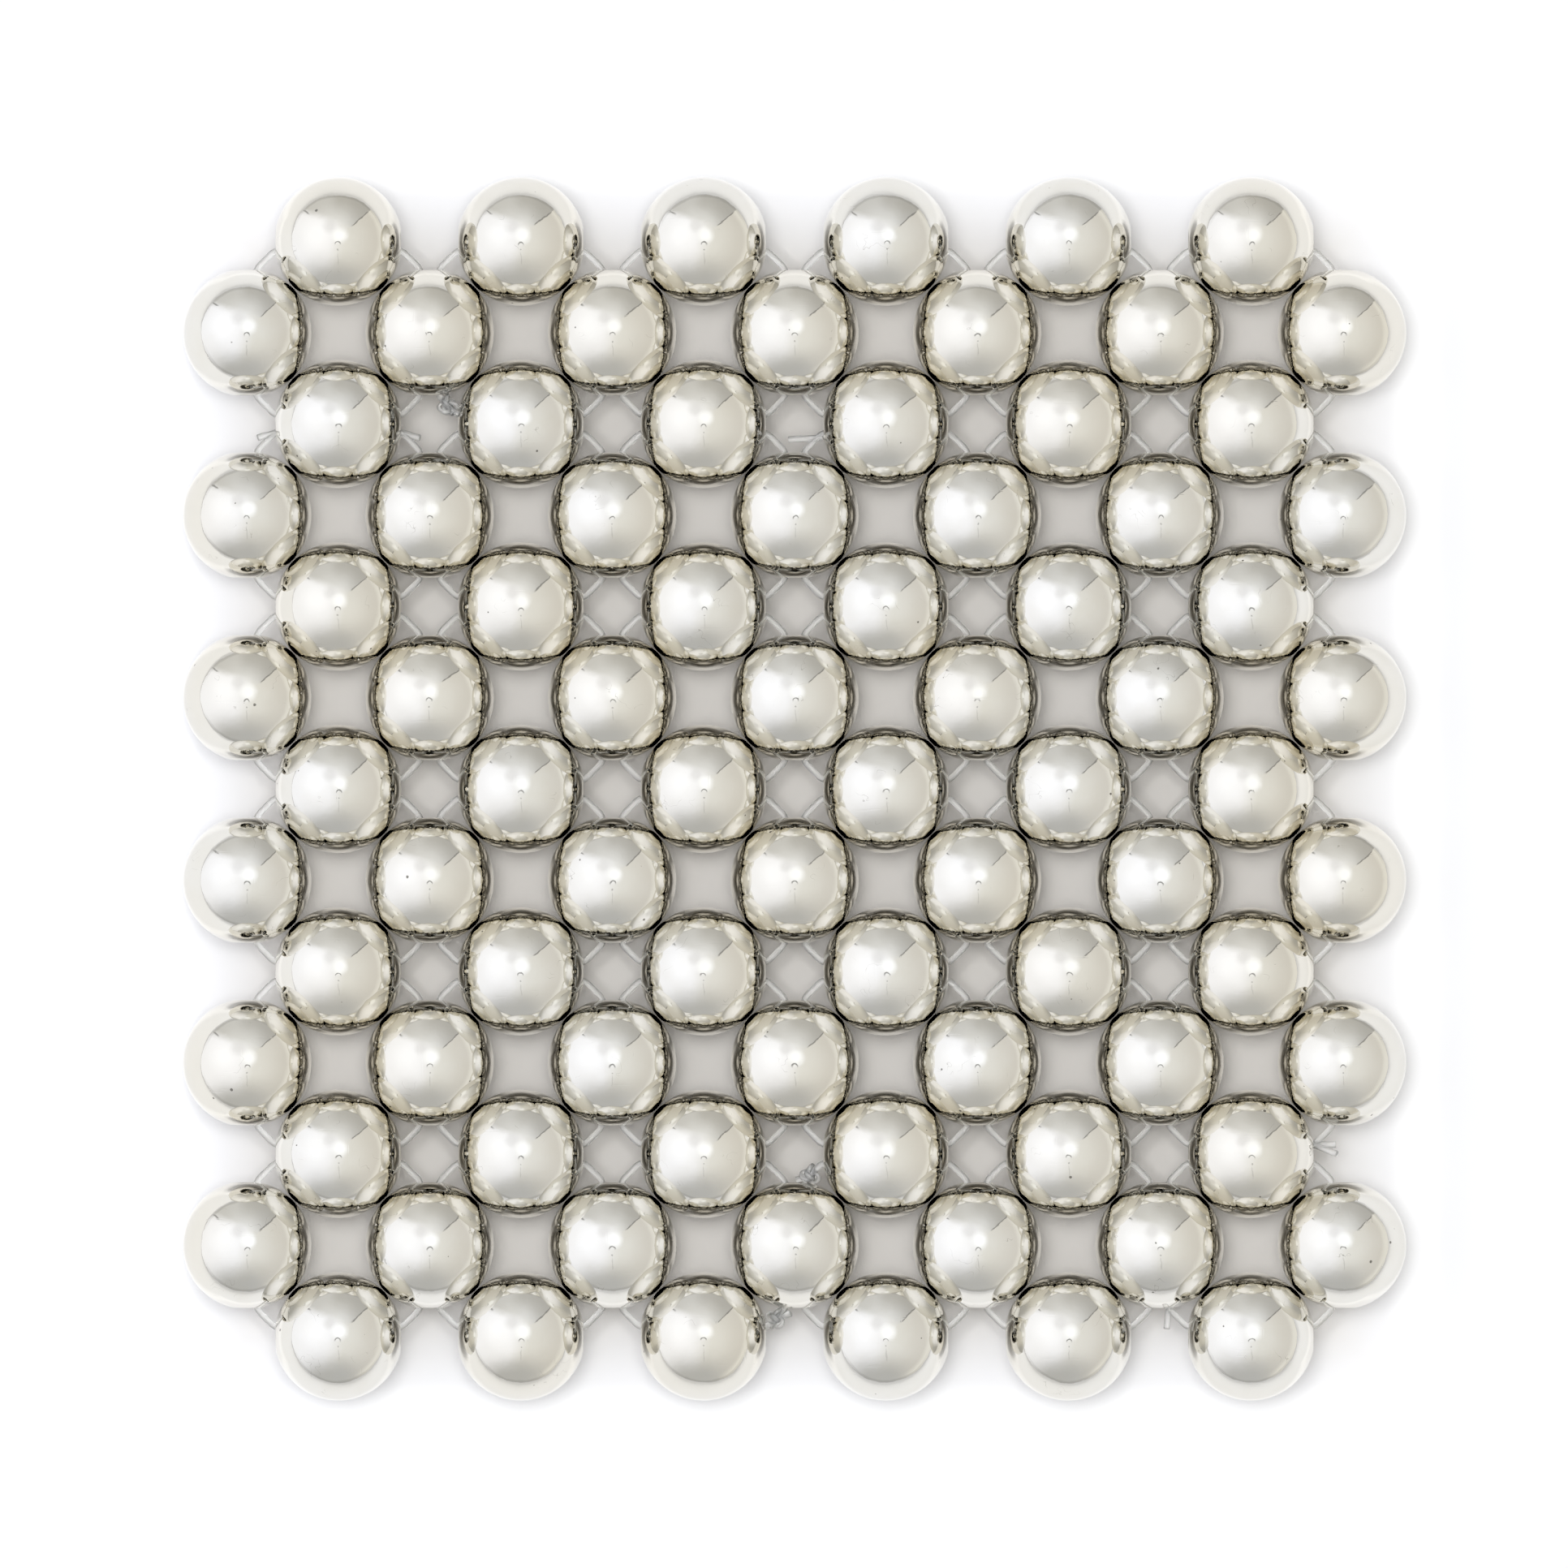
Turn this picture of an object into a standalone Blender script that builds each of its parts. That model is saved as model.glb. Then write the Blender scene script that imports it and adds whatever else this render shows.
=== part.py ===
"""Beaded coaster: a square mat of round silver beads in right-angle weave on clear nylon line.

Units are metres and +Z is up. The mat lies on z = 0 with its centre on the Z axis.
The beads are the sides of a square grid. A seam is a run of beads on a grid line along X, from
seam 0 at -Y to seam 6 at +Y, and its bores run along X. Between two seams is a row, from row 1
at -Y to row 6 at +Y, whose beads have their bores along Y and sit on grid columns 0 to 6. A loop of nylon line sews each row to the seams on both sides.
Its two strands cross inside each of the row's five inner beads and hold them, so the loop and
these beads are one piece. The row's two outer beads, and every seam bead, turn freely on the
strands. Each row folds about the seam that joins it to the next row.
"""
import math

import bmesh
import bpy
from mathutils import Matrix, Vector

# ---- driving dimensions ----
UNITS = 6
UNIT_PITCH = 0.0145
BEAD_RADIUS = 0.00511           # neighbours just touch
BEAD_HALF_LENGTH = 0.00486
BORE_RADIUS = 0.00105
BEAD_SIDES = 12
BEAD_CORNERS = (30, 60)         # of a bead's section, in degrees from its bore
BAND_SHARE = 0.25               # of a bead's radius, straight to each side of its middle
LINE_RADIUS = 0.00025

# ---- how the line lies ----
STRAND_OFFSET = 0.0007          # from a bore's axis to a strand that leaves the bore
STRAND_BEND = 0.0022            # from a grid point to the bends beside the bores
GRIP_OFFSET = 0.00088           # from a bore's axis to a strand that presses on its wall
GRIP_ALONG = 0.0036             # from a bead's middle to where the strands press on its wall
CROSSING_RISE = 0.00032         # height of each strand above or below the other where they cross
KNOT_RADIUS = 0.00046
TUCK_RADIUS = 0.0003            # of a cut end's root where it comes out beside a bore

# ---- worked out from them ----
HALF_PITCH = UNIT_PITCH / 2
SEAMS = UNITS + 1
HALF_SPAN = UNITS * UNIT_PITCH / 2
AXIS_HEIGHT = BEAD_RADIUS
BAND_HALF = BAND_SHARE * BEAD_RADIUS
FLAT_TO_CORNER = 1 / math.cos(math.pi / BEAD_SIDES)
ROOT_ROW = 3

# Knots and cut ends: row, seam, grid column, place along X and Y from that grid point, radius,
# then (direction in degrees in the plane of the mat, length) of each cut end.
KNOTS = (
    (1, 1, 3, 0.00125, -0.00165, KNOT_RADIUS, ((200, 0.0012),)),
    (1, 0, 3, -0.00145, 0.00145, KNOT_RADIUS, ((20, 0.0012), (235, 0.0009))),
    (1, 0, 5, 0.0007, 0.0022, TUCK_RADIUS, ((265, 0.0016),)),
    (2, 1, 6, -0.0022, 0.0007, TUCK_RADIUS, ((5, 0.0017), (-18, 0.0019))),
    (5, 5, 0, 0.0022, -0.0007, TUCK_RADIUS, ((200, 0.0014),)),
    (5, 5, 1, -0.0022, -0.0007, TUCK_RADIUS, ((-12, 0.0015),)),
    (5, 5, 3, 0.0018, -0.0011, KNOT_RADIUS, ((185, 0.0023),)),
    (6, 5, 1, 0.00145, 0.00145, KNOT_RADIUS, ((-50, 0.0008), (120, 0.0007))),
)

# ---- meshes ----
LINE_SLOT = 1                   # of the line's material, after the beads' material in slot 0
LINE_BEVEL_STEPS = 1
TAIL_SIDES = 6
MERGE_DISTANCE = 1e-6
SMOOTH_ANGLE = math.radians(50)


def grid(index):
    """Place along X or Y of a grid line, counted from 0."""
    return index * UNIT_PITCH - HALF_SPAN


def row_middle(row):
    """Y of a row's middle, rows counted from 1."""
    return grid(row) - HALF_PITCH


def material(name, colour, metallic, roughness, alpha=1.0):
    made = bpy.data.materials.new(name)
    made.use_nodes = True
    shader = made.node_tree.nodes["Principled BSDF"]
    shader.inputs["Base Color"].default_value = (*colour, 1.0)
    shader.inputs["Metallic"].default_value = metallic
    shader.inputs["Roughness"].default_value = roughness
    shader.inputs["Alpha"].default_value = alpha
    made.diffuse_color = (*colour, alpha)
    made.metallic = metallic
    made.roughness = roughness
    return made


def origin(thing):
    """Where an object's origin is in the mat's frame. No parent is turned or scaled."""
    if thing is None:
        return Vector((0, 0, 0))
    return thing.location + origin(thing.parent)


def place(name, mesh, location=(0, 0, 0), parent=None):
    """A named object at a place in the mat's frame, moving with its parent."""
    made = bpy.data.objects.new(name, mesh)
    bpy.context.scene.collection.objects.link(made)
    made.parent = parent
    made.location = Vector(location) - origin(parent)
    return made


def smooth(mesh):
    mesh.shade_smooth()
    mesh.set_sharp_from_angle(angle=SMOOTH_ANGLE)


# ---- beads ----

def bead_mesh(name, axis, materials):
    """A ball with a bore along the axis, turned from half of its section.

    The band's facets are at the true radius, so that one faces straight down and another
    straight up. The facets between the section's corners cut the ball a little short where it
    faces its neighbours, 45 degrees from the bore, so that beads clear each other as they turn.
    """
    half = [(BEAD_HALF_LENGTH, BORE_RADIUS)]
    for corner in BEAD_CORNERS:
        turn = math.radians(corner)
        half.append((BEAD_RADIUS * math.cos(turn), BEAD_RADIUS * math.sin(turn)))
    half.append((BAND_HALF, BEAD_RADIUS))
    section = half + [(-x, r) for x, r in reversed(half)]
    along = Vector(axis)
    outward = Matrix.Rotation(math.pi / BEAD_SIDES, 3, along) @ Vector((0, 0, FLAT_TO_CORNER))
    bm = bmesh.new()
    points = [bm.verts.new(along * x + outward * r) for x, r in section]
    ring = [bm.edges.new((a, b)) for a, b in zip(points, points[1:] + points[:1])]
    bmesh.ops.spin(
        bm, geom=points + ring, cent=(0, 0, 0), axis=along,
        angle=2 * math.pi, steps=BEAD_SIDES, use_merge=True,
    )
    bmesh.ops.remove_doubles(bm, verts=bm.verts, dist=MERGE_DISTANCE)
    bmesh.ops.recalc_face_normals(bm, faces=bm.faces)
    mesh = bpy.data.meshes.new(name)
    bm.to_mesh(mesh)
    bm.free()
    for each in materials:
        mesh.materials.append(each)
    smooth(mesh)
    return mesh


# ---- line ----

def across_bead(column, direction, rise):
    """A strand's way through an inner bead of a row, from one side of its bore to the other."""
    x = grid(column)
    return [
        (x - STRAND_OFFSET, direction * (HALF_PITCH - STRAND_BEND), 0),
        (x - GRIP_OFFSET, direction * GRIP_ALONG, 0),
        (x, 0, rise),
        (x + GRIP_OFFSET, -direction * GRIP_ALONG, 0),
        (x + STRAND_OFFSET, -direction * (HALF_PITCH - STRAND_BEND), 0),
    ]


def along_bead(column, direction):
    """A strand's way through the seam bead between two grid columns, at one end of a row."""
    y = direction * (HALF_PITCH - STRAND_OFFSET)
    return [(grid(column) + STRAND_BEND, y, 0), (grid(column + 1) - STRAND_BEND, y, 0)]


def strand_points(first_end):
    """One of the two strands from a row's first bead to its last, neither of which it enters."""
    points = []
    end = first_end
    for column in range(UNITS):
        points += along_bead(column, end)
        if column < UNITS - 1:
            points += across_bead(column + 1, end, end * CROSSING_RISE)
            end = -end
    return points


def line_loop_points():
    """The closed loop of a row's line: both strands, joined through the first and last bead."""
    reach = HALF_PITCH - STRAND_BEND
    first = grid(0) + STRAND_OFFSET
    last = grid(UNITS) - STRAND_OFFSET
    there = strand_points(1)
    back = strand_points(-1)[::-1]
    there_end = 1 if there[-1][1] > 0 else -1
    return (
        [(first, reach, 0)] + there + [(last, there_end * reach, 0), (last, -there_end * reach, 0)]
        + back + [(first, -reach, 0)]
    )


def line_mesh(points):
    """A round line through the points of a closed loop."""
    curve = bpy.data.curves.new("line_route", "CURVE")
    curve.dimensions = "3D"
    curve.twist_mode = "Z_UP"
    curve.bevel_depth = LINE_RADIUS
    curve.bevel_resolution = LINE_BEVEL_STEPS
    spline = curve.splines.new("POLY")
    spline.points.add(len(points) - 1)
    for bend, position in zip(spline.points, points):
        bend.co = (*position, 1)
    spline.use_cyclic_u = True
    route = bpy.data.objects.new("line_route", curve)
    bpy.context.scene.collection.objects.link(route)
    mesh = bpy.data.meshes.new_from_object(route)
    bpy.data.objects.remove(route)
    bpy.data.curves.remove(curve)
    return mesh


def knot_meshes(row):
    """The small knots in a row's line and their cut ends, about the row's middle."""
    for knot_row, seam, column, x, y, radius, tails in KNOTS:
        if knot_row != row:
            continue
        centre = Vector((grid(column) + x, grid(seam) + y - row_middle(row), 0))
        bm = bmesh.new()
        bmesh.ops.create_icosphere(
            bm, subdivisions=1, radius=radius, matrix=Matrix.Translation(centre)
        )
        yield bm
        for angle, length in tails:
            heading = Matrix.Rotation(math.radians(angle), 4, "Z")
            lying = Matrix.Rotation(math.pi / 2, 4, "Y")
            middle = Matrix.Translation((0, 0, length / 2))
            bm = bmesh.new()
            bmesh.ops.create_cone(
                bm, cap_ends=True, segments=TAIL_SIDES, radius1=LINE_RADIUS, radius2=LINE_RADIUS,
                depth=length, matrix=Matrix.Translation(centre) @ heading @ lying @ middle,
            )
            yield bm


# ---- rows ----

def set_slot(mesh, slot, materials):
    mesh.materials.clear()
    for each in materials:
        mesh.materials.append(each)
    mesh.polygons.foreach_set("material_index", [slot] * len(mesh.polygons))


def union(name, base, pieces):
    """One closed mesh of the base mesh and the pieces, which are objects that it then removes."""
    helper = place(name, base)
    group = bpy.data.collections.new(name)
    bpy.context.scene.collection.children.link(group)
    for piece in pieces:
        bpy.context.scene.collection.objects.unlink(piece)
        group.objects.link(piece)
    join = helper.modifiers.new("join", "BOOLEAN")
    join.operation = "UNION"
    join.solver = "EXACT"
    join.operand_type = "COLLECTION"
    join.collection = group
    bpy.context.view_layer.update()
    graph = bpy.context.evaluated_depsgraph_get()
    joined = bpy.data.meshes.new_from_object(helper.evaluated_get(graph))
    for extra in [helper, *pieces]:
        bpy.data.objects.remove(extra)
    bpy.data.collections.remove(group)
    joined.name = name
    return joined


def woven_row(row, loop, bead, materials, parent):
    """A row's loop of line with the five inner beads that it holds, its origin on its fold."""
    pieces = [place("inner_bead", bead, (grid(column), 0, 0)) for column in range(1, UNITS)]
    for bm in knot_meshes(row):
        mesh = bpy.data.meshes.new("knot")
        bm.to_mesh(mesh)
        bm.free()
        set_slot(mesh, LINE_SLOT, materials)
        pieces.append(place("knot", mesh))
    mesh = union(f"woven_row_{row}", loop.copy(), pieces)
    smooth(mesh)
    fold_side = 0 if row == ROOT_ROW else math.copysign(1, ROOT_ROW - row)
    mesh.transform(Matrix.Translation((0, -fold_side * HALF_PITCH, 0)))
    return place(
        f"woven_row_{row}", mesh,
        (0, row_middle(row) + fold_side * HALF_PITCH, AXIS_HEIGHT), parent,
    )


# ---- the mat ----

def build():
    for existing in list(bpy.data.objects):
        bpy.data.objects.remove(existing)

    silver = material("silver_plating", (0.80, 0.78, 0.75), 1.0, 0.12)
    nylon = material("clear_nylon", (0.92, 0.92, 0.90), 0.0, 0.15, 0.45)
    both = (silver, nylon)
    seam_bead = bead_mesh("bead_bore_along_x", (1, 0, 0), both)
    row_bead = bead_mesh("bead_bore_along_y", (0, 1, 0), both)
    loop = line_mesh(line_loop_points())
    set_slot(loop, LINE_SLOT, both)

    rows = {}
    for row in (ROOT_ROW, *range(ROOT_ROW + 1, UNITS + 1), *range(ROOT_ROW - 1, 0, -1)):
        inner = row - 1 if row > ROOT_ROW else row + 1
        rows[row] = woven_row(row, loop, row_bead, both, rows.get(inner))
        for side, column in (("left", 0), ("right", UNITS)):
            centre = (grid(column), row_middle(row), AXIS_HEIGHT)
            place(f"row_{row}_{side}_bead", row_bead, centre, rows[row])

    for seam in range(SEAMS):
        carrier = rows[seam + 1 if seam < ROOT_ROW else seam]
        for column in range(UNITS):
            centre = (grid(column) + HALF_PITCH, grid(seam), AXIS_HEIGHT)
            place(f"seam_{seam}_bead_{column + 1}", seam_bead, centre, carrier)


build()
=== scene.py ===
"""Looks of the beaded coaster: 84 silver-plated beads and the clear nylon line that they hang on.

Metres, +Z up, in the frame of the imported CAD. The mat lies on z = 0 with its centre on the Z
axis. Seam beads have their bores along X and sit on the grid lines along X, from seam 0 at -Y to
seam 6 at +Y. Row beads have their bores along Y and sit between two seams, in rows 1 to 6. One
loop of line sews each row to the seams on both sides of it.
"""
import math
import random

import bmesh
import bpy
from mathutils import Matrix, Vector


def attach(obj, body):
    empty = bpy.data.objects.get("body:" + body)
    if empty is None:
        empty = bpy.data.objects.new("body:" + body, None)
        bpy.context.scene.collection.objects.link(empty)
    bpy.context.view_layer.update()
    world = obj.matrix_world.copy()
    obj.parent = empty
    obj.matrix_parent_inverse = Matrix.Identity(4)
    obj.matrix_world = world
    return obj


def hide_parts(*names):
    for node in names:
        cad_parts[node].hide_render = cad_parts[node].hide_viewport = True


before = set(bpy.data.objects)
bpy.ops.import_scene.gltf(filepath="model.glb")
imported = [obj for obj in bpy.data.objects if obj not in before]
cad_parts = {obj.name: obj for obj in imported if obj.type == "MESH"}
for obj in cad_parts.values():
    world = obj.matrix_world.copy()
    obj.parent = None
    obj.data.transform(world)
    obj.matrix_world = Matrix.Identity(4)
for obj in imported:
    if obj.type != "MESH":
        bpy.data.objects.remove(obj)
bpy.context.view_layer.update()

SEED = 11

# ---- the mat, as in the CAD ----
UNITS = 6
UNIT_PITCH = 0.0145
HALF_PITCH = UNIT_PITCH / 2
HALF_SPAN = UNITS * UNIT_PITCH / 2
BEAD_RADIUS = 0.00511           # neighbours just touch
AXIS_HEIGHT = BEAD_RADIUS
BORE_RADIUS = 0.00105
RIM_RADIUS = 0.00018            # rounding where the bore comes out
LINE_RADIUS = 0.00025
STRAND_OFFSET = 0.0007
STRAND_BEND = 0.0022
GRIP_OFFSET = 0.00088
GRIP_ALONG = 0.0036
CROSSING_RISE = 0.00032

# Knots and cut ends: row, seam, grid column, place along X and Y from that grid point, reach of
# the knot (0 for a plain end), then (direction in degrees, length) of each cut end.
KNOT_REACH = 0.00075
KNOT_LINE_RADIUS = 0.00017
KNOT_STEPS = 48
TAIL_ROOT = 0.0004              # of a cut end that is hidden in its knot or bore
KNOTS = (
    (1, 1, 3, 0.00125, -0.00165, KNOT_REACH, ((200, 0.0012),)),
    (1, 0, 3, -0.00145, 0.00145, KNOT_REACH, ((20, 0.0012), (235, 0.0009))),
    (1, 0, 5, 0.0007, 0.0022, 0, ((265, 0.0016),)),
    (2, 1, 6, -0.0022, 0.0007, 0, ((5, 0.0017), (-18, 0.0019))),
    (5, 5, 0, 0.0022, -0.0007, 0, ((200, 0.0014),)),
    (5, 5, 1, -0.0022, -0.0007, 0, ((-12, 0.0015),)),
    (5, 5, 3, 0.0018, -0.0011, 0, ((185, 0.0023),)),
    (6, 5, 1, 0.00145, 0.00145, KNOT_REACH, ((-50, 0.0008), (120, 0.0007))),
)

# ---- colours, linear ----
PLATING = (0.811, 0.793, 0.738)
WARM_PLATING = (0.808, 0.778, 0.700)
DULL_PLATING = (0.772, 0.747, 0.672)
PIT_COLOUR = (0.16, 0.15, 0.13)
HAIRLINE_COLOUR = (0.30, 0.28, 0.24)
CLEAR_NYLON = (0.965, 0.965, 0.955)
MILKY_NYLON = (0.93, 0.93, 0.905)
# painted light and shade on the floor card: painted shade and a warm painted reflection of the
# beads under the mat, painted light at its edge and just beside it
CARD_PAINTED_SHADE_UNDER_MAT = (0.735, 0.710, 0.675)
CARD_PAINTED_LIGHT_AT_EDGE = (0.805, 0.803, 0.812)
CARD_PAINTED_LIGHT_BESIDE_MAT = (0.86, 0.86, 0.865)
CARD_AWAY = (0.750, 0.751, 0.757)
CARD_CLOUD = (0.70, 0.70, 0.70)
CARD_SHADE = (0.03, 0.03, 0.03)

# ---- sizes of the marks in the plating ----
BATCH_SIZE = 0.019              # tone from bead to bead
MOTTLE_SIZE = 0.0021
PIT_SPACING = 0.0017
RAGGED_SIZE = 0.00016           # of a pit's edge, and of the grain
HAIRLINE_SIZE = 0.0016
RUB_SIZE = 0.0030
SCRATCH_SIZE = 0.0011
WAVE_SIZE = 0.0024
PEEL_SIZE = 0.0008
RELIEF_DEPTH = 0.00003

# ---- light ----
TENT_STRENGTH = 1.063
KEY_POWER = 5.0                 # watts
KEY_SIZE = 0.35
KEY_PLACE = (-0.05, 0.05, 0.99)
FLOOR_REACH = 2.0               # from its centre to an edge
RIGHT_CORNER = ((0.225, 0.24), (0.465, 0.455))  # of the tent, in its east and north

# ---- camera ----
CAMERA_HEIGHT = 1.5
CAMERA_X = -0.00084
CAMERA_Y = 0.00039
VIEW_WIDTH = 0.1246             # of the picture, at the beads' middles
SENSOR_WIDTH = 36.0             # millimetres

# ---- fineness of the meshes ----
BEAD_SIDES = 80
BALL_STEPS = 40
RIM_STEPS = 6
LINE_SIDES = 12
SHARP_ANGLE = 50                # degrees, at the cut ends of line
BEND_STEPS = 7
BEND_LENGTH = 0.0005            # of line on each side of a corner that the bend takes up


def grid(index):
    """Place along X or Y of a grid line, counted from 0."""
    return index * UNIT_PITCH - HALF_SPAN


def row_middle(row):
    """Y of a row's middle, rows counted from 1."""
    return grid(row) - HALF_PITCH


# ---- node helpers ----

class Nodes:
    """Short ways to add nodes to one tree."""

    def __init__(self, tree):
        self.tree = tree

    def add(self, kind, **settings):
        node = self.tree.nodes.new(kind)
        for name, value in settings.items():
            setattr(node, name, value)
        return node

    def feed(self, socket, value):
        if isinstance(value, bpy.types.NodeSocket):
            self.tree.links.new(value, socket)
        else:
            socket.default_value = value

    def maths(self, operation, first, second=0.0):
        node = self.add("ShaderNodeMath", operation=operation)
        self.feed(node.inputs[0], first)
        self.feed(node.inputs[1], second)
        return node.outputs[0]

    def ramp(self, value, low, high, to_low=0.0, to_high=1.0):
        """to_low below low, to_high above high, and a smooth rise between them."""
        node = self.add("ShaderNodeMapRange", interpolation_type="SMOOTHSTEP")
        self.feed(node.inputs["Value"], value)
        for name, number in (("From Min", low), ("From Max", high)):
            node.inputs[name].default_value = number
        for name, number in (("To Min", to_low), ("To Max", to_high)):
            node.inputs[name].default_value = number
        return node.outputs["Result"]

    def blend(self, factor, first, second):
        """A mix of two colours, each a socket or a linear (r, g, b)."""
        node = self.add("ShaderNodeMix", data_type="RGBA")
        self.feed(node.inputs["Factor"], factor)
        for name, colour in (("A", first), ("B", second)):
            socket = next(s for s in node.inputs if s.name == name and s.type == "RGBA")
            if not isinstance(colour, bpy.types.NodeSocket):
                colour = (*colour, 1.0)
            self.feed(socket, colour)
        return next(s for s in node.outputs if s.type == "RGBA")

    def noise(self, vector, size, detail=2.0, roughness=0.5, stretch=(1, 1, 1), shift=0.0):
        """Noise whose largest features are about this size in metres."""
        mapping = self.add("ShaderNodeMapping")
        self.feed(mapping.inputs["Vector"], vector)
        mapping.inputs["Scale"].default_value = stretch
        mapping.inputs["Location"].default_value = (shift, -shift, 2 * shift)
        node = self.add("ShaderNodeTexNoise")
        self.feed(node.inputs["Vector"], mapping.outputs[0])
        node.inputs["Scale"].default_value = 1 / size
        node.inputs["Detail"].default_value = detail
        node.inputs["Roughness"].default_value = roughness
        return node.outputs[0]


def new_material(name):
    made = bpy.data.materials.new(name)
    made.use_nodes = True
    nodes = Nodes(made.node_tree)
    shader = made.node_tree.nodes["Principled BSDF"]
    return made, nodes, shader


# ---- materials ----

def silver_material():
    """Bright warm plating: nearly a mirror, with orange peel, pits, hairlines and rub marks."""
    made, n, shader = new_material("silver_plating")
    here = n.add("ShaderNodeTexCoord").outputs["Object"]

    # tone: each bead is plated a little differently, and each is a little mottled
    batch = n.ramp(n.noise(here, BATCH_SIZE, detail=1.0, shift=0.31), 0.42, 0.62)
    mottle = n.ramp(n.noise(here, MOTTLE_SIZE, detail=4.0, shift=0.12), 0.35, 0.75)
    tone = n.blend(batch, PLATING, WARM_PLATING)
    tone = n.blend(n.maths("MULTIPLY", mottle, 0.5), tone, DULL_PLATING)

    # pits: sparse dark specks
    cells = n.add("ShaderNodeTexVoronoi", feature="F1")
    n.feed(cells.inputs["Vector"], here)
    cells.inputs["Scale"].default_value = 1 / PIT_SPACING
    chosen = n.add("ShaderNodeSeparateColor")
    n.feed(chosen.inputs[0], cells.outputs["Color"])
    rare = n.ramp(chosen.outputs[0], 0.70, 0.71)
    pit_size = n.maths("MULTIPLY", chosen.outputs[1], 0.05)
    ragged = n.maths("MULTIPLY", n.noise(here, RAGGED_SIZE, detail=3.0), 0.05)
    depth = n.maths("SUBTRACT", n.maths("ADD", pit_size, ragged), cells.outputs["Distance"])
    pit = n.maths("MULTIPLY", n.ramp(depth, -0.012, 0.012), rare)
    tone = n.blend(n.maths("MULTIPLY", pit, 0.85), tone, PIT_COLOUR)

    # hairlines: short thin dark curves, only here and there
    level = n.maths("ABSOLUTE", n.maths("SUBTRACT", n.noise(here, HAIRLINE_SIZE, shift=0.7), 0.5))
    hair = n.ramp(level, 0.0012, 0.0045, 1.0, 0.0)
    sparse = n.ramp(n.noise(here, 0.0026, shift=0.9), 0.60, 0.66)
    hair = n.maths("MULTIPLY", hair, sparse)
    tone = n.blend(n.maths("MULTIPLY", hair, 0.45), tone, HAIRLINE_COLOUR)
    n.feed(shader.inputs["Base Color"], tone)
    shader.inputs["Metallic"].default_value = 1.0

    # gloss: a mirror with faint rub marks, scratches and dull pits
    rubbed = n.ramp(n.noise(here, RUB_SIZE, detail=5.0, stretch=(1.0, 1.0, 2.2)), 0.45, 0.80)
    scratch_a = n.ramp(
        n.noise(here, SCRATCH_SIZE, detail=1.0, stretch=(0.25, 3.6, 1.0), shift=0.2), 0.70, 0.76
    )
    scratch_b = n.ramp(
        n.noise(here, SCRATCH_SIZE, detail=1.0, stretch=(3.4, 0.3, 0.9), shift=0.5), 0.71, 0.77
    )
    scratch = n.maths("MAXIMUM", scratch_a, scratch_b)
    gloss = n.maths("MULTIPLY_ADD", rubbed, 0.028)
    gloss.node.inputs[2].default_value = 0.012      # where nothing has rubbed
    gloss = n.maths("ADD", gloss, n.maths("MULTIPLY", scratch, 0.07))
    gloss = n.maths("ADD", gloss, n.maths("MULTIPLY", pit, 0.35))
    n.feed(shader.inputs["Roughness"], gloss)

    # relief: long soft waves, orange peel, grain, scratches and pits
    waves = n.maths("MULTIPLY", n.noise(here, WAVE_SIZE, detail=0.0), 1.5)
    peel = n.maths("MULTIPLY", n.noise(here, PEEL_SIZE, detail=1.0), 0.30)
    grain = n.maths("MULTIPLY", n.noise(here, RAGGED_SIZE, detail=2.0), 0.022)
    marks = n.maths("MULTIPLY", n.maths("MAXIMUM", scratch, pit), -0.05)
    relief = n.maths("ADD", n.maths("ADD", waves, peel), n.maths("ADD", grain, marks))
    bump = n.add("ShaderNodeBump")
    bump.inputs["Strength"].default_value = 1.0
    bump.inputs["Distance"].default_value = RELIEF_DEPTH
    n.feed(bump.inputs["Height"], relief)
    n.feed(shader.inputs["Normal"], bump.outputs["Normal"])
    return made


def nylon_material():
    """Clear drawn nylon, a little milky, scuffed and uneven."""
    made, n, shader = new_material("clear_nylon")
    here = n.add("ShaderNodeTexCoord").outputs["Object"]
    milky = n.ramp(n.noise(here, 0.0035, detail=3.0), 0.35, 0.75)
    n.feed(shader.inputs["Base Color"], n.blend(milky, CLEAR_NYLON, MILKY_NYLON))
    scuffed = n.ramp(n.noise(here, 0.0009, detail=4.0), 0.45, 0.80)
    n.feed(shader.inputs["Roughness"], n.ramp(scuffed, 0.0, 1.0, 0.40, 0.60))
    shader.inputs["Transmission Weight"].default_value = 0.86
    shader.inputs["IOR"].default_value = 1.33
    bump = n.add("ShaderNodeBump")
    bump.inputs["Strength"].default_value = 0.5
    bump.inputs["Distance"].default_value = 0.00002
    n.feed(bump.inputs["Height"], n.noise(here, 0.0005, detail=3.0))
    n.feed(shader.inputs["Normal"], bump.outputs["Normal"])
    return made


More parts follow.
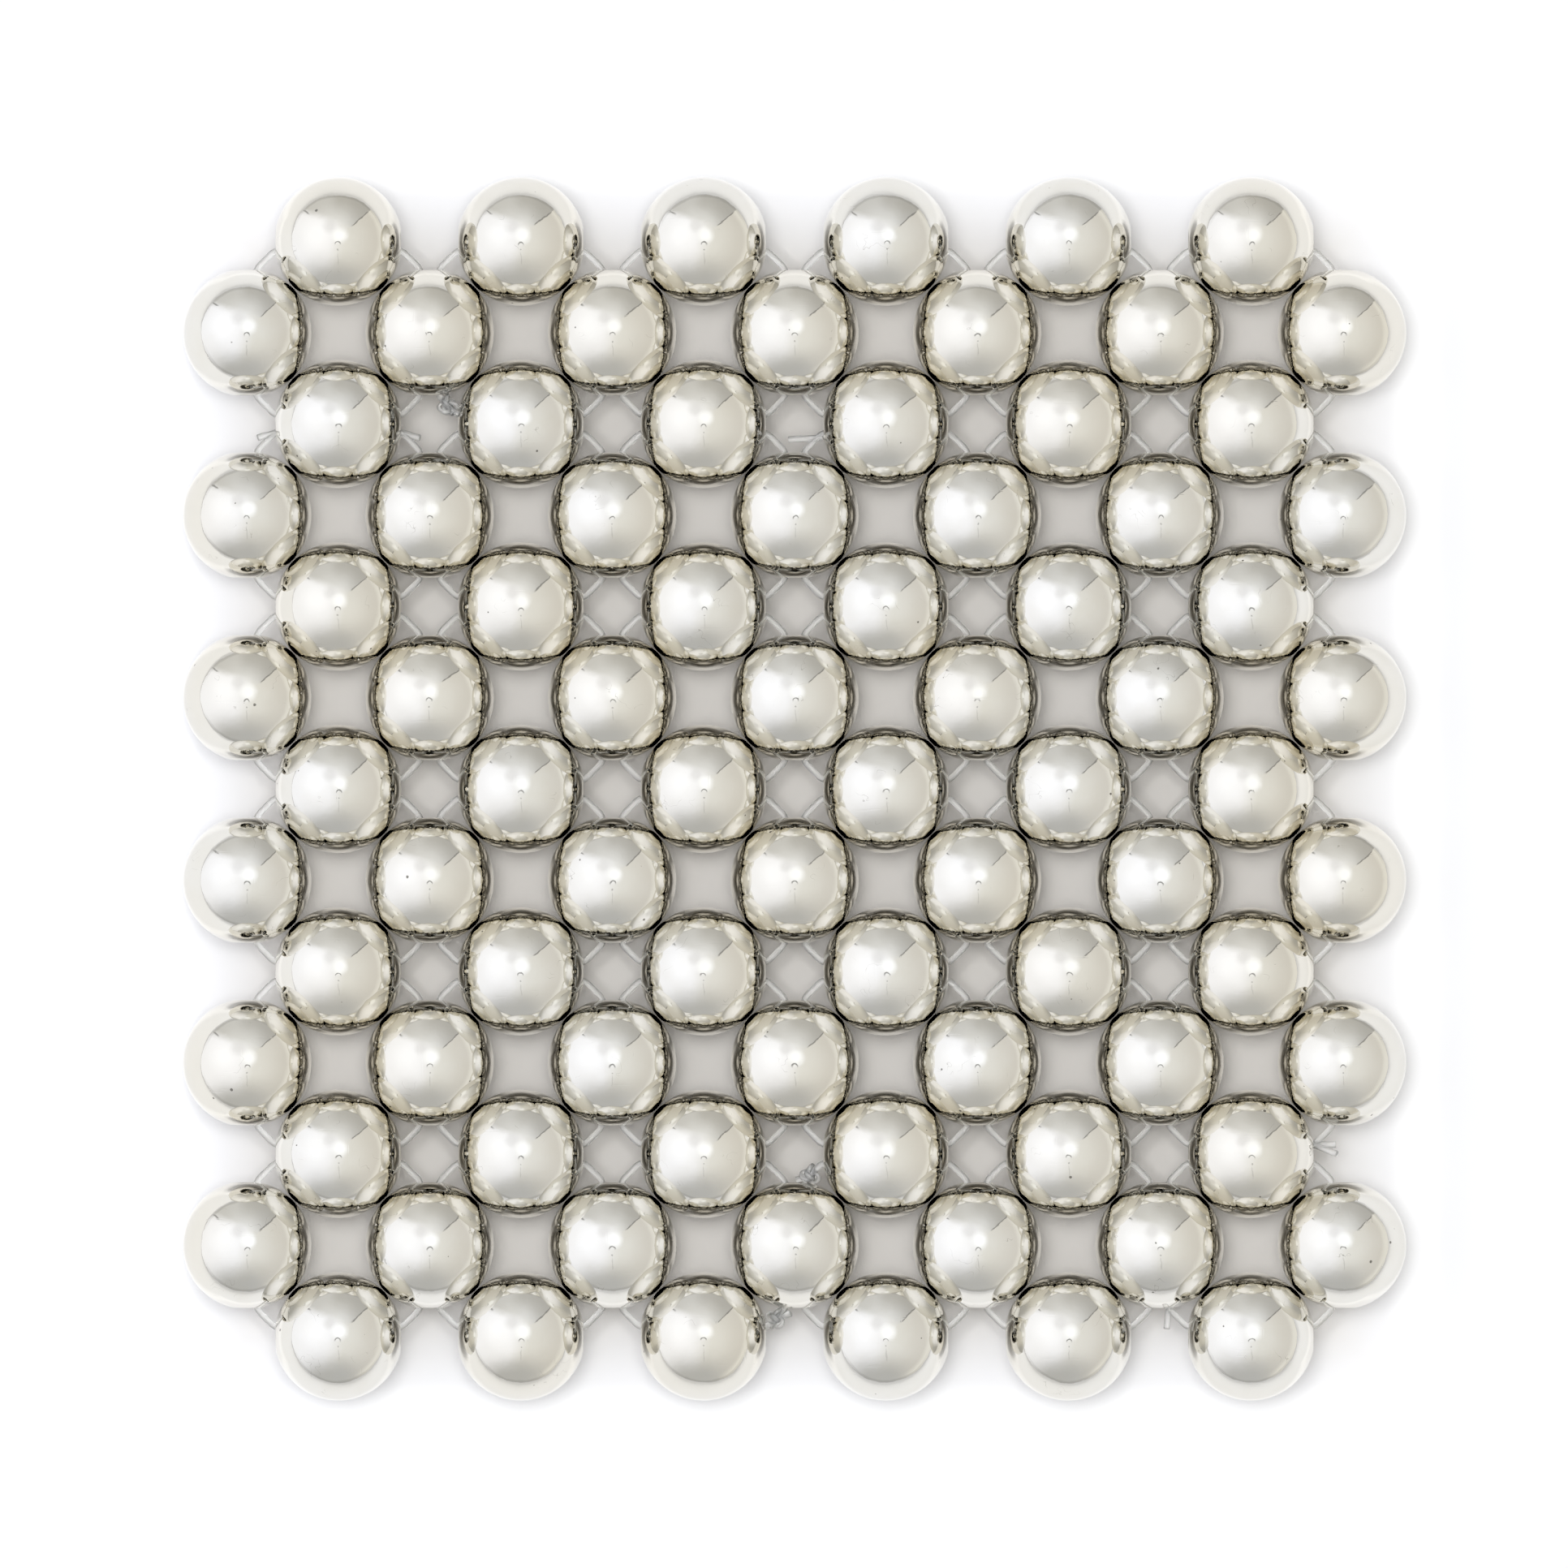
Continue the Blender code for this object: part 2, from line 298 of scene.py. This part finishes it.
def floor_material():
    """Matt white card, with light and shade painted into its colour.

    Under the mat it is warm and darker: painted shade and a painted reflection of the beads. Just
    beside the mat it is lightest: painted light. Further out it darkens slowly with distance:
    painted shade.
    """
    made, n, shader = new_material("white_card")
    here = n.add("ShaderNodeTexCoord").outputs["Object"]
    cloud = n.ramp(n.noise(here, 0.02, detail=4.0), 0.3, 0.7)
    split = n.add("ShaderNodeSeparateXYZ")
    n.feed(split.inputs[0], here)
    wide, deep = (n.maths("ABSOLUTE", split.outputs[k]) for k in (0, 1))
    beyond = n.maths("MAXIMUM", wide, deep)
    # painted shade and a warm painted reflection of the beads under the mat, turning to painted
    # light at its edge
    card = n.blend(n.ramp(beyond, 0.038, 0.048), CARD_PAINTED_SHADE_UNDER_MAT, CARD_PAINTED_LIGHT_AT_EDGE)
    # the painted light at the mat's edge gives way to the card's own tone further out
    card = n.blend(n.ramp(beyond, 0.0495, 0.053), card, CARD_AWAY)
    card = n.blend(n.maths("MULTIPLY", cloud, 0.02), card, CARD_CLOUD)
    # painted light in a thin band just beside the mat, lightening the shadow at its edge
    past_edge = n.ramp(beyond, 0.0470, 0.0488)
    still_near = n.ramp(beyond, 0.0490, 0.0520, 1.0, 0.0)
    card = n.blend(n.maths("MULTIPLY", past_edge, still_near), card, CARD_PAINTED_LIGHT_BESIDE_MAT)
    # painted shade, growing with distance towards +X and along Y
    falloff = n.maths(
        "MAXIMUM", n.ramp(split.outputs[0], 0.058, 0.195, 0.0, 0.20),
        n.ramp(deep, 0.045, 0.150, 0.0, 0.30),
    )
    n.feed(shader.inputs["Base Color"], n.blend(falloff, card, CARD_SHADE))
    shader.inputs["Roughness"].default_value = 0.9
    shader.inputs["Specular IOR Level"].default_value = 0.2
    return made


# ---- beads ----

def bead_section():
    """Half of a bead's section as (along the bore, from its axis), from mouth to mouth, closed."""
    centre_out = BORE_RADIUS + RIM_RADIUS
    centre_along = math.sqrt((BEAD_RADIUS - RIM_RADIUS) ** 2 - centre_out ** 2)
    lip = math.atan2(centre_out, centre_along)
    half = []
    for step in range(RIM_STEPS):
        turn = -math.pi / 2 + (lip + math.pi / 2) * step / RIM_STEPS
        half.append((
            centre_along + RIM_RADIUS * math.cos(turn),
            centre_out + RIM_RADIUS * math.sin(turn),
        ))
    ball = []
    for step in range(BALL_STEPS + 1):
        turn = lip + (math.pi - 2 * lip) * step / BALL_STEPS
        ball.append((BEAD_RADIUS * math.cos(turn), BEAD_RADIUS * math.sin(turn)))
    return half + ball + [(-x, r) for x, r in reversed(half)]


def bead_mesh(name, centre, along, roll):
    """A round bead with a real bore along X or Y, its vertices in the mat's frame."""
    section = bead_section()
    bm = bmesh.new()
    rings = []
    for side in range(BEAD_SIDES):
        turn = roll + 2 * math.pi * side / BEAD_SIDES
        c, s = math.cos(turn), math.sin(turn)
        if along == "X":
            ring = [bm.verts.new((x, r * c, r * s)) for x, r in section]
        else:
            ring = [bm.verts.new((r * s, x, r * c)) for x, r in section]
        rings.append(ring)
    for side in range(BEAD_SIDES):
        a, b = rings[side], rings[(side + 1) % BEAD_SIDES]
        for k in range(len(section)):
            m = (k + 1) % len(section)
            bm.faces.new((a[k], a[m], b[m], b[k]))
    bmesh.ops.recalc_face_normals(bm, faces=bm.faces)
    bmesh.ops.translate(bm, verts=bm.verts, vec=centre)
    mesh = bpy.data.meshes.new(name)
    bm.to_mesh(mesh)
    bm.free()
    mesh.shade_smooth()
    return mesh


def add_piece(name, mesh, material, body, slot, *replaced):
    mesh.materials.append(material)
    piece = bpy.data.objects.new(name, mesh)
    bpy.context.scene.collection.objects.link(piece)
    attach(piece, body)
    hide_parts(*replaced)
    return piece


def add_beads(material):
    draw = random.Random(SEED)
    for seam in range(UNITS + 1):
        for column in range(1, UNITS + 1):
            node = f"seam_{seam}_bead_{column}"
            centre = (grid(column) - HALF_PITCH, grid(seam), AXIS_HEIGHT)
            mesh = bead_mesh(f"plated_{node}", centre, "X", draw.uniform(0, 0.2))
            add_piece(f"plated_{node}", mesh, material, node, "silver_plated_bead", node)
    for row in range(1, UNITS + 1):
        for column in range(UNITS + 1):
            centre = (grid(column), row_middle(row), AXIS_HEIGHT)
            if column == 0:
                label, body = f"row_{row}_left_bead", f"row_{row}_left_bead"
            elif column == UNITS:
                label, body = f"row_{row}_right_bead", f"row_{row}_right_bead"
            else:
                label, body = f"row_{row}_inner_bead_{column}", f"woven_row_{row}"
            mesh = bead_mesh(f"plated_{label}", centre, "Y", draw.uniform(0, 0.2))
            add_piece(f"plated_{label}", mesh, material, body, "silver_plated_bead", body)


# ---- line ----

def across_bead(column, direction, rise):
    """A strand's way through an inner bead of a row, from one side of its bore to the other."""
    x = grid(column)
    return [
        (x - STRAND_OFFSET, direction * (HALF_PITCH - STRAND_BEND), 0),
        (x - GRIP_OFFSET, direction * GRIP_ALONG, 0),
        (x, 0, rise),
        (x + GRIP_OFFSET, -direction * GRIP_ALONG, 0),
        (x + STRAND_OFFSET, -direction * (HALF_PITCH - STRAND_BEND), 0),
    ]


def along_bead(column, direction):
    """A strand's way through the seam bead between two grid columns, at one end of a row."""
    y = direction * (HALF_PITCH - STRAND_OFFSET)
    return [(grid(column) + STRAND_BEND, y, 0), (grid(column + 1) - STRAND_BEND, y, 0)]


def strand_points(first_end):
    points = []
    end = first_end
    for column in range(UNITS):
        points += along_bead(column, end)
        if column < UNITS - 1:
            points += across_bead(column + 1, end, end * CROSSING_RISE)
            end = -end
    return points


def line_loop_points():
    """The closed loop of a row's line: both strands, joined through the first and last bead."""
    reach = HALF_PITCH - STRAND_BEND
    first = grid(0) + STRAND_OFFSET
    last = grid(UNITS) - STRAND_OFFSET
    there = strand_points(1)
    back = strand_points(-1)[::-1]
    there_end = 1 if there[-1][1] > 0 else -1
    return (
        [(first, reach, 0)] + there + [(last, there_end * reach, 0), (last, -there_end * reach, 0)]
        + back + [(first, -reach, 0)]
    )


def rounded(points, closed):
    """The same route with each corner turned into a bend."""
    points = [Vector(p) for p in points]
    count = len(points)
    route = []
    for k, corner in enumerate(points):
        if not closed and k in (0, count - 1):
            route.append(corner)
            continue
        before, after = points[k - 1] - corner, points[(k + 1) % count] - corner
        start = corner + before.normalized() * min(BEND_LENGTH, before.length * 0.45)
        end = corner + after.normalized() * min(BEND_LENGTH, after.length * 0.45)
        for step in range(BEND_STEPS + 1):
            t = step / BEND_STEPS
            route.append(start * (1 - t) ** 2 + corner * 2 * t * (1 - t) + end * t ** 2)
    return route


def sweep(bm, route, radius, closed):
    """A round tube along a route, with flat cut ends if it isn't closed."""
    count = len(route)
    rings = []
    side = None
    for k, point in enumerate(route):
        before = route[k - 1] if closed or k else point
        after = route[(k + 1) % count] if closed or k < count - 1 else point
        ahead = (after - before).normalized()
        if side is None:
            side = ahead.orthogonal().normalized()
            if abs(ahead.z) < 0.9:
                side = Vector((0, 0, 1)).cross(ahead).normalized()
        side = (side - ahead * side.dot(ahead)).normalized()
        up = ahead.cross(side)
        rings.append([
            bm.verts.new(point + radius * (
                side * math.cos(2 * math.pi * s / LINE_SIDES)
                + up * math.sin(2 * math.pi * s / LINE_SIDES)
            ))
            for s in range(LINE_SIDES)
        ])
    last = count if closed else count - 1
    for k in range(last):
        a, b = rings[k], rings[(k + 1) % count]
        for s in range(LINE_SIDES):
            t = (s + 1) % LINE_SIDES
            bm.faces.new((a[s], a[t], b[t], b[s]))
    if not closed:
        bm.faces.new(rings[0][::-1])
        bm.faces.new(rings[-1])


def trefoil(centre, reach, lean):
    """A closed overhand knot about a place, its widest part this far from it."""
    turned = Matrix.Rotation(lean, 3, "Y") @ Matrix.Rotation(2 * lean, 3, "Z")
    route = []
    for step in range(KNOT_STEPS):
        t = 2 * math.pi * step / KNOT_STEPS
        point = Vector((
            math.sin(t) + 2 * math.sin(2 * t),
            math.cos(t) - 2 * math.cos(2 * t),
            -1.3 * math.sin(3 * t),
        ))
        route.append(centre + turned @ point * (reach / 3))
    return route


def tail(centre, angle, length, draw):
    """A cut end of line that lies nearly level and curves a little."""
    heading = Vector((math.cos(math.radians(angle)), math.sin(math.radians(angle)), 0))
    aside = Vector((-heading.y, heading.x, 0)) * draw.uniform(-0.08, 0.08) * length
    rise = Vector((0, 0, draw.uniform(-0.1, 0.16) * length))
    bends = [
        centre - heading * TAIL_ROOT, centre + heading * length * 0.3,
        centre + heading * length * 0.7 + aside, centre + heading * length + aside + rise,
    ]
    return rounded(bends, False)


def add_knots(bm, row, draw):
    """A row's knots and cut ends, about the row's middle."""
    for knot_row, seam, column, x, y, reach, tails in KNOTS:
        if knot_row != row:
            continue
        centre = Vector((grid(column) + x, grid(seam) + y - row_middle(row), 0))
        if reach:
            sweep(bm, trefoil(centre, reach, draw.uniform(0.2, 0.6)), KNOT_LINE_RADIUS, True)
            loose = trefoil(centre, reach * 0.8, draw.uniform(1.0, 1.6))
            sweep(bm, loose, KNOT_LINE_RADIUS, True)
        for angle, length in tails:
            sweep(bm, tail(centre, angle, length, draw), LINE_RADIUS, False)


def add_lines(material):
    draw = random.Random(SEED + 1)
    for row in range(1, UNITS + 1):
        bm = bmesh.new()
        sweep(bm, rounded(line_loop_points(), True), LINE_RADIUS, True)
        add_knots(bm, row, draw)
        bmesh.ops.recalc_face_normals(bm, faces=bm.faces)
        bmesh.ops.translate(bm, verts=bm.verts, vec=(0, row_middle(row), AXIS_HEIGHT))
        mesh = bpy.data.meshes.new(f"nylon_row_{row}")
        bm.to_mesh(mesh)
        bm.free()
        mesh.shade_smooth()
        mesh.set_sharp_from_angle(angle=math.radians(SHARP_ANGLE))
        body = f"woven_row_{row}"
        add_piece(f"nylon_row_{row}", mesh, material, body, "clear_nylon_line", body)


# ---- studio ----

def add_floor():
    bm = bmesh.new()
    bmesh.ops.create_grid(bm, x_segments=8, y_segments=8, size=FLOOR_REACH)
    mesh = bpy.data.meshes.new("floor")
    bm.to_mesh(mesh)
    bm.free()
    mesh.materials.append(floor_material())
    floor = bpy.data.objects.new("floor", mesh)
    bpy.context.scene.collection.objects.link(floor)


class Tent(Nodes):
    """Nodes that paint a world by where each direction shows on a bead seen from above.

    East and north are that place as shares of the bead's radius, so the horizon is a circle of
    radius 0.707.
    """

    def __init__(self, tree):
        super().__init__(tree)
        split = self.add("ShaderNodeSeparateXYZ")
        self.feed(split.inputs[0], self.add("ShaderNodeTexCoord").outputs["Generated"])
        x, y, z = split.outputs
        doubled = self.maths("MULTIPLY", self.maths("ADD", z, 1.0), 2.0)
        spread = self.maths("SQRT", self.maths("MAXIMUM", doubled, 0.01))
        self.east = self.maths("DIVIDE", x, spread)
        self.north = self.maths("DIVIDE", y, spread)

    def distance(self, east, north):
        """Distance from one place."""
        across = self.maths("SUBTRACT", self.east, east)
        up = self.maths("SUBTRACT", self.north, north)
        squares = self.maths(
            "ADD", self.maths("MULTIPLY", across, across), self.maths("MULTIPLY", up, up)
        )
        return self.maths("SQRT", squares)

    def frame_of(self, start, end):
        """Distances along and to the left of the line through two places, and its length."""
        length = math.dist(start, end)
        ahead_east = (end[0] - start[0]) / length
        ahead_north = (end[1] - start[1]) / length
        east = self.maths("SUBTRACT", self.east, start[0])
        north = self.maths("SUBTRACT", self.north, start[1])
        run = self.maths(
            "ADD", self.maths("MULTIPLY", east, ahead_east),
            self.maths("MULTIPLY", north, ahead_north),
        )
        left = self.maths(
            "SUBTRACT", self.maths("MULTIPLY", north, ahead_east),
            self.maths("MULTIPLY", east, ahead_north),
        )
        return run, left, length

    def side_of(self, start, end):
        """Signed distance from the line through two places, positive to its left."""
        return self.frame_of(start, end)[1]

    def thin_line(self, start, end, half_width, ends=0.03):
        """1 on a thin line between two places, 0 off it."""
        run, left, length = self.frame_of(start, end)
        off = self.maths("ABSOLUTE", left)
        on = self.ramp(off, half_width * 0.4, half_width * 1.6, 1.0, 0.0)
        on = self.maths("MULTIPLY", on, self.ramp(run, -ends, ends))
        return self.maths("MULTIPLY", on, self.ramp(run, length - ends, length + ends, 1.0, 0.0))


def add_tent():
    """A white light tent: its left wall is lit, its back wall and near wall are in shade."""
    world = bpy.data.worlds.new("light_tent")
    bpy.context.scene.world = world
    world.use_nodes = True
    n = Tent(world.node_tree)
    output = next(node for node in world.node_tree.nodes if node.type == "BACKGROUND")
    radius = n.distance(0, 0)

    # left wall (lit) to right wall (plain), and the near wall's shade
    from_middle = n.distance(-0.34, 0.10)
    left = n.blend(n.ramp(from_middle, 0.04, 0.36), (1.19, 1.22, 1.32), (1.07, 1.09, 1.17))
    right = n.blend(n.ramp(radius, 0.10, 0.66), (0.875, 0.88, 0.87), (0.728, 0.710, 0.678))
    turn = n.maths("ADD", n.east, n.maths("MULTIPLY", n.north, -0.25))
    sky = n.blend(n.ramp(turn, -0.16, 0.18), left, right)
    near = n.maths(
        "MULTIPLY", n.ramp(n.north, -0.11, -0.61),
        n.ramp(n.distance(-0.12, -0.6), 0.15, 0.66, 1.0, 0.30),
    )
    sky = n.blend(near, sky, (0.52, 0.525, 0.530))
    haze = n.maths("MULTIPLY", n.ramp(radius, 0.60, 0.68), n.ramp(n.east, 0.20, 0.50))
    sky = n.blend(haze, sky, (0.86, 0.85, 0.81))

    # back wall, in shade, between two corners of the tent
    back = n.blend(n.ramp(radius, 0.18, 0.68), (0.93, 0.95, 0.985), (0.545, 0.540, 0.525))
    back = n.blend(n.ramp(n.east, -0.20, 0.06, 0.36, 0.0), back, (0.90, 0.915, 0.94))
    back = n.blend(n.ramp(n.east, 0.02, 0.40, 0.0, 0.55), back, (0.46, 0.455, 0.445))
    right_corner = n.ramp(n.side_of(*RIGHT_CORNER), -0.006, 0.012)
    left_corner = n.ramp(n.side_of((-0.44, 0.42), (-0.05, 0.29)), -0.08, 0.08)
    sky = n.blend(n.maths("MULTIPLY", right_corner, left_corner), sky, back)

    # a dip between the lit wall and the roof opening, and the opening
    sky = n.blend(n.ramp(n.distance(-0.13, 0.22), 0.03, 0.15, 0.30, 0.0), sky, (0.62, 0.62, 0.63))
    sky = n.blend(n.ramp(n.distance(0.03, 0.085), 0.04, 0.17, 1.0, 0.0), sky, (1.22, 1.26, 1.34))

    # dark marks: corner seams, the near wall's zip, the camera and the foot of the walls
    from_ring = n.maths("ABSOLUTE", n.maths("SUBTRACT", n.distance(0.008, -0.06), 0.042))
    ring = n.ramp(from_ring, 0.003, 0.014, 1.0, 0.0)
    camera = n.maths("MULTIPLY", ring, n.ramp(n.north, -0.08, -0.03))
    foot = n.maths(
        "MULTIPLY", n.ramp(radius, 0.668, 0.690),
        n.ramp(n.maths("ABSOLUTE", n.north), 0.10, 0.60, 0.0, 0.26),
    )
    dark = foot
    for mark, depth in (
        (n.thin_line(*RIGHT_CORNER, 0.009), 0.78),
        (n.thin_line((-0.53, 0.47), (-0.44, 0.41), 0.012), 0.70),
        (n.thin_line((0.005, -0.19), (0.015, -0.36), 0.007), 0.25),
        (camera, 0.80),
        (n.ramp(n.distance(0.008, -0.145), 0.006, 0.018, 1.0, 0.0), 0.5),
    ):
        dark = n.maths("MAXIMUM", dark, n.maths("MULTIPLY", mark, depth))
    sky = n.blend(dark, sky, (0.20, 0.20, 0.20))
    n.feed(output.inputs["Color"], sky)
    output.inputs["Strength"].default_value = TENT_STRENGTH


def add_key():
    """A soft light almost overhead, which leaves a faint shadow at the lower right."""
    data = bpy.data.lights.new("key", "AREA")
    data.shape = "SQUARE"
    data.size = KEY_SIZE
    data.energy = KEY_POWER
    key = bpy.data.objects.new("key", data)
    bpy.context.scene.collection.objects.link(key)
    key.location = KEY_PLACE
    key.rotation_euler = (Vector((0, 0, 0)) - key.location).to_track_quat("-Z", "Y").to_euler()
    key.visible_glossy = False
    key.visible_camera = False


def add_camera():
    """Straight down, from far enough away that the beads show no perspective."""
    data = bpy.data.cameras.new("camera")
    camera = bpy.data.objects.new("camera", data)
    bpy.context.scene.collection.objects.link(camera)
    data.sensor_width = SENSOR_WIDTH
    data.lens = SENSOR_WIDTH * (CAMERA_HEIGHT - AXIS_HEIGHT) / VIEW_WIDTH
    camera.location = (CAMERA_X, CAMERA_Y, CAMERA_HEIGHT)
    bpy.context.scene.camera = camera


add_camera()
silver = silver_material()
nylon = nylon_material()
add_beads(silver)
add_lines(nylon)
add_floor()
add_tent()
add_key()
bpy.context.scene.view_settings.view_transform = "Standard"
